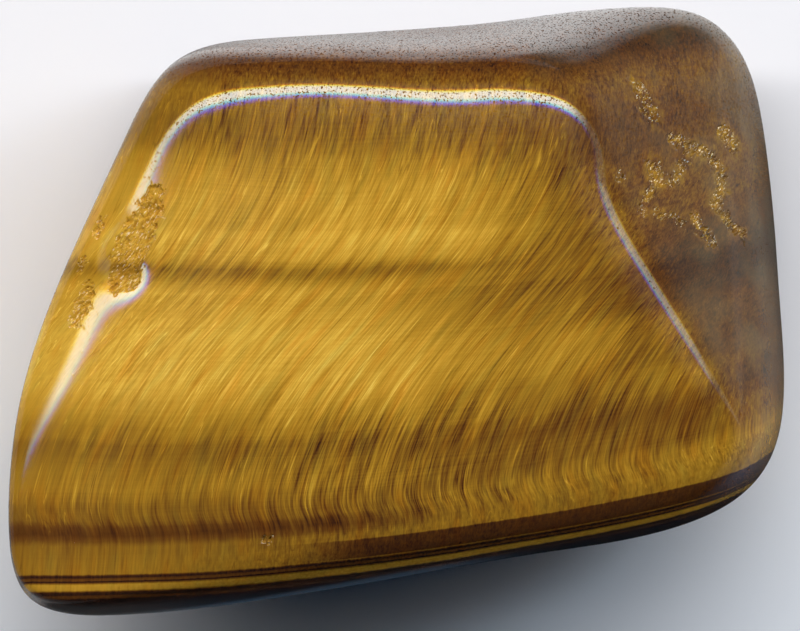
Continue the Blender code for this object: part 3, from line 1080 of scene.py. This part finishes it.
def make_floor():
    """A pale table top, painted lighter and bluer towards the front to stand in for light and shade, and
    black in the polish, where only its painted reflection glows.
    """
    material = bpy.data.materials.new("pale_table")
    material.use_nodes = True
    tree = material.node_tree
    shader = tree.nodes["Principled BSDF"]
    in_polish = Amount(tree, tree.nodes.new("ShaderNodeLightPath").outputs["Is Glossy Ray"])
    _, y, _ = separated(tree, in_millimetres(tree))
    painted_light_paper = mixed(tree, smooth_step(y, 4.0, -14.0), *FLOOR_PAINTED_LIGHT_COLOURS)
    plug(tree, mixed(tree, in_polish, painted_light_paper, BLACK), shader.inputs["Base Color"])
    shader.inputs["Roughness"].default_value = 0.9
    shader.inputs["Specular IOR Level"].default_value = 0.0
    # Painted reflection: the table glows, only in the polish, with the light it would throw back.
    gleam, tint = floor_gleam(tree)
    plug(tree, tint, shader.inputs["Emission Color"])
    plug(tree, gleam * in_polish, shader.inputs["Emission Strength"])
    material.cycles.emission_sampling = "NONE"
    half = TABLE_HALF
    mesh = bpy.data.meshes.new("table")
    corners = [(-half, -half, 0.0), (half, -half, 0.0), (half, half, 0.0), (-half, half, 0.0)]
    mesh.from_pydata(corners, [], [(0, 1, 2, 3)])
    mesh.materials.append(material)
    floor = bpy.data.objects.new("table", mesh)
    bpy.context.scene.collection.objects.link(floor)
    return floor


def add_light(name, place, width, height, radiance, colour, facing_from=None):
    """A flat rectangular light that looks at the stone, given by how bright its face is."""
    data = bpy.data.lights.new(name, "AREA")
    data.shape = "RECTANGLE"
    data.size = width
    data.size_y = height
    data.color = colour
    data.energy = radiance * math.pi * width * height
    light = bpy.data.objects.new(name, data)
    light.location = place
    light.rotation_euler = (-(facing_from or place)).to_track_quat("-Z", "Y").to_euler()
    light.visible_camera = False
    light.visible_glossy = False
    bpy.context.scene.collection.objects.link(light)


def light_scene():
    """One long strip lamp behind the crest, a little brighter and cooler to the right."""
    angle = math.radians(LAMP_TILT)
    place = Vector((0.0, math.sin(angle), math.cos(angle))) * LAMP_DISTANCE
    height = 2.0 * LAMP_DISTANCE * math.tan(math.radians(LAMP_WIDTH) / 2.0)
    add_light("strip_lamp", place, LAMP_LENGTH, height, LAMP_RADIANCE, LAMP_COLOUR)
    start, end = RIGHT_PART
    beside = place + Vector(((start + end) / 2.0, 0.0, 0.0))
    add_light("strip_lamp_right_part", beside, end - start, height, RIGHT_PART_RADIANCE,
              RIGHT_PART_COLOUR, place)
    world = bpy.data.worlds.new("room")
    world.use_nodes = True
    bpy.context.scene.world = world
    tree = world.node_tree
    background = tree.nodes["Background"]
    path = tree.nodes.new("ShaderNodeLightPath")
    seen = Amount(tree, path.outputs["Is Camera Ray"])
    in_polish = Amount(tree, path.outputs["Is Glossy Ray"])
    room = mixed(tree, in_polish, ROOM_COLOUR, lamp_gleam(tree))
    plug(tree, mixed(tree, seen, room, BACKDROP_COLOUR), background.inputs["Color"])


def lamp_gleam(tree):
    """The room as the polish shows it: a soft-edged strip with a faint haze on its near side."""
    direction = tree.nodes.new("ShaderNodeTexCoord").outputs["Generated"]
    x, y, z = separated(tree, direction)
    turn = worked(tree, "DEGREES", worked(tree, "ARCTAN2", y, z))
    sideways = x / worked(tree, "SQRT", y * y + z * z)
    narrowing = smooth_step(sideways, -1.3, -0.6, 0.42, 1.0)
    turn = (turn - GLEAM_TILT) / narrowing + GLEAM_TILT
    length = smooth_step(sideways, -1.53, -1.38) * smooth_step(sideways, 0.35, 1.0, 1.0, 0.26)
    length = length * smooth_step(sideways, 1.05, 1.3, 1.0, 0.2)
    length = length * smooth_step(sideways, -1.3, -0.9, 0.72, 1.0)
    horizon = smooth_step(x, 0.5, 0.9, 0.0, 0.42) * smooth_step(z, 0.0, 0.5, 1.0, 0.0)
    haze = smooth_step(turn, 2.0, 27.0, 0.0, 0.75) * smooth_step(turn, 33.0, 50.0, 1.0, 0.0)
    haze = haze * smooth_step(sideways, -0.8, -0.2, 0.1, 1.0)
    bands = []
    for middle, half, brightness in GLEAM_BANDS:
        rise = smooth_step(turn, middle - half - GLEAM_EDGE, middle - half + GLEAM_EDGE)
        fall = smooth_step(turn, middle + half - GLEAM_EDGE, middle + half + GLEAM_EDGE, 1.0, 0.0)
        bands.append((rise * fall * brightness + haze) * length + horizon + 0.03)
    return combined(tree, *bands)


def add_camera(offset):
    """A long lens straight above the stone, so that it sees almost no perspective."""
    data = bpy.data.cameras.new("camera")
    data.lens = LENS
    data.sensor_width = SENSOR
    data.clip_start = 0.05
    data.clip_end = 30.0
    camera = bpy.data.objects.new("camera", data)
    width = PICTURE[0] * PICTURE_SCALE * MM
    x = ((PICTURE[0] / 2.0 - PICTURE_ORIGIN[0]) * PICTURE_SCALE - offset[0]) * MM
    y = ((PICTURE_ORIGIN[1] - PICTURE[1] / 2.0) * PICTURE_SCALE - offset[1]) * MM
    camera.location = (x, y, FOCUS_LEVEL + width * LENS / SENSOR)
    bpy.context.scene.collection.objects.link(camera)
    bpy.context.scene.camera = camera


stone, form_offset = make_stone(stone_material())
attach(stone, "root")
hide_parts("stone")
make_floor()
light_scene()
add_camera(form_offset)
bpy.context.scene.view_settings.view_transform = "Standard"
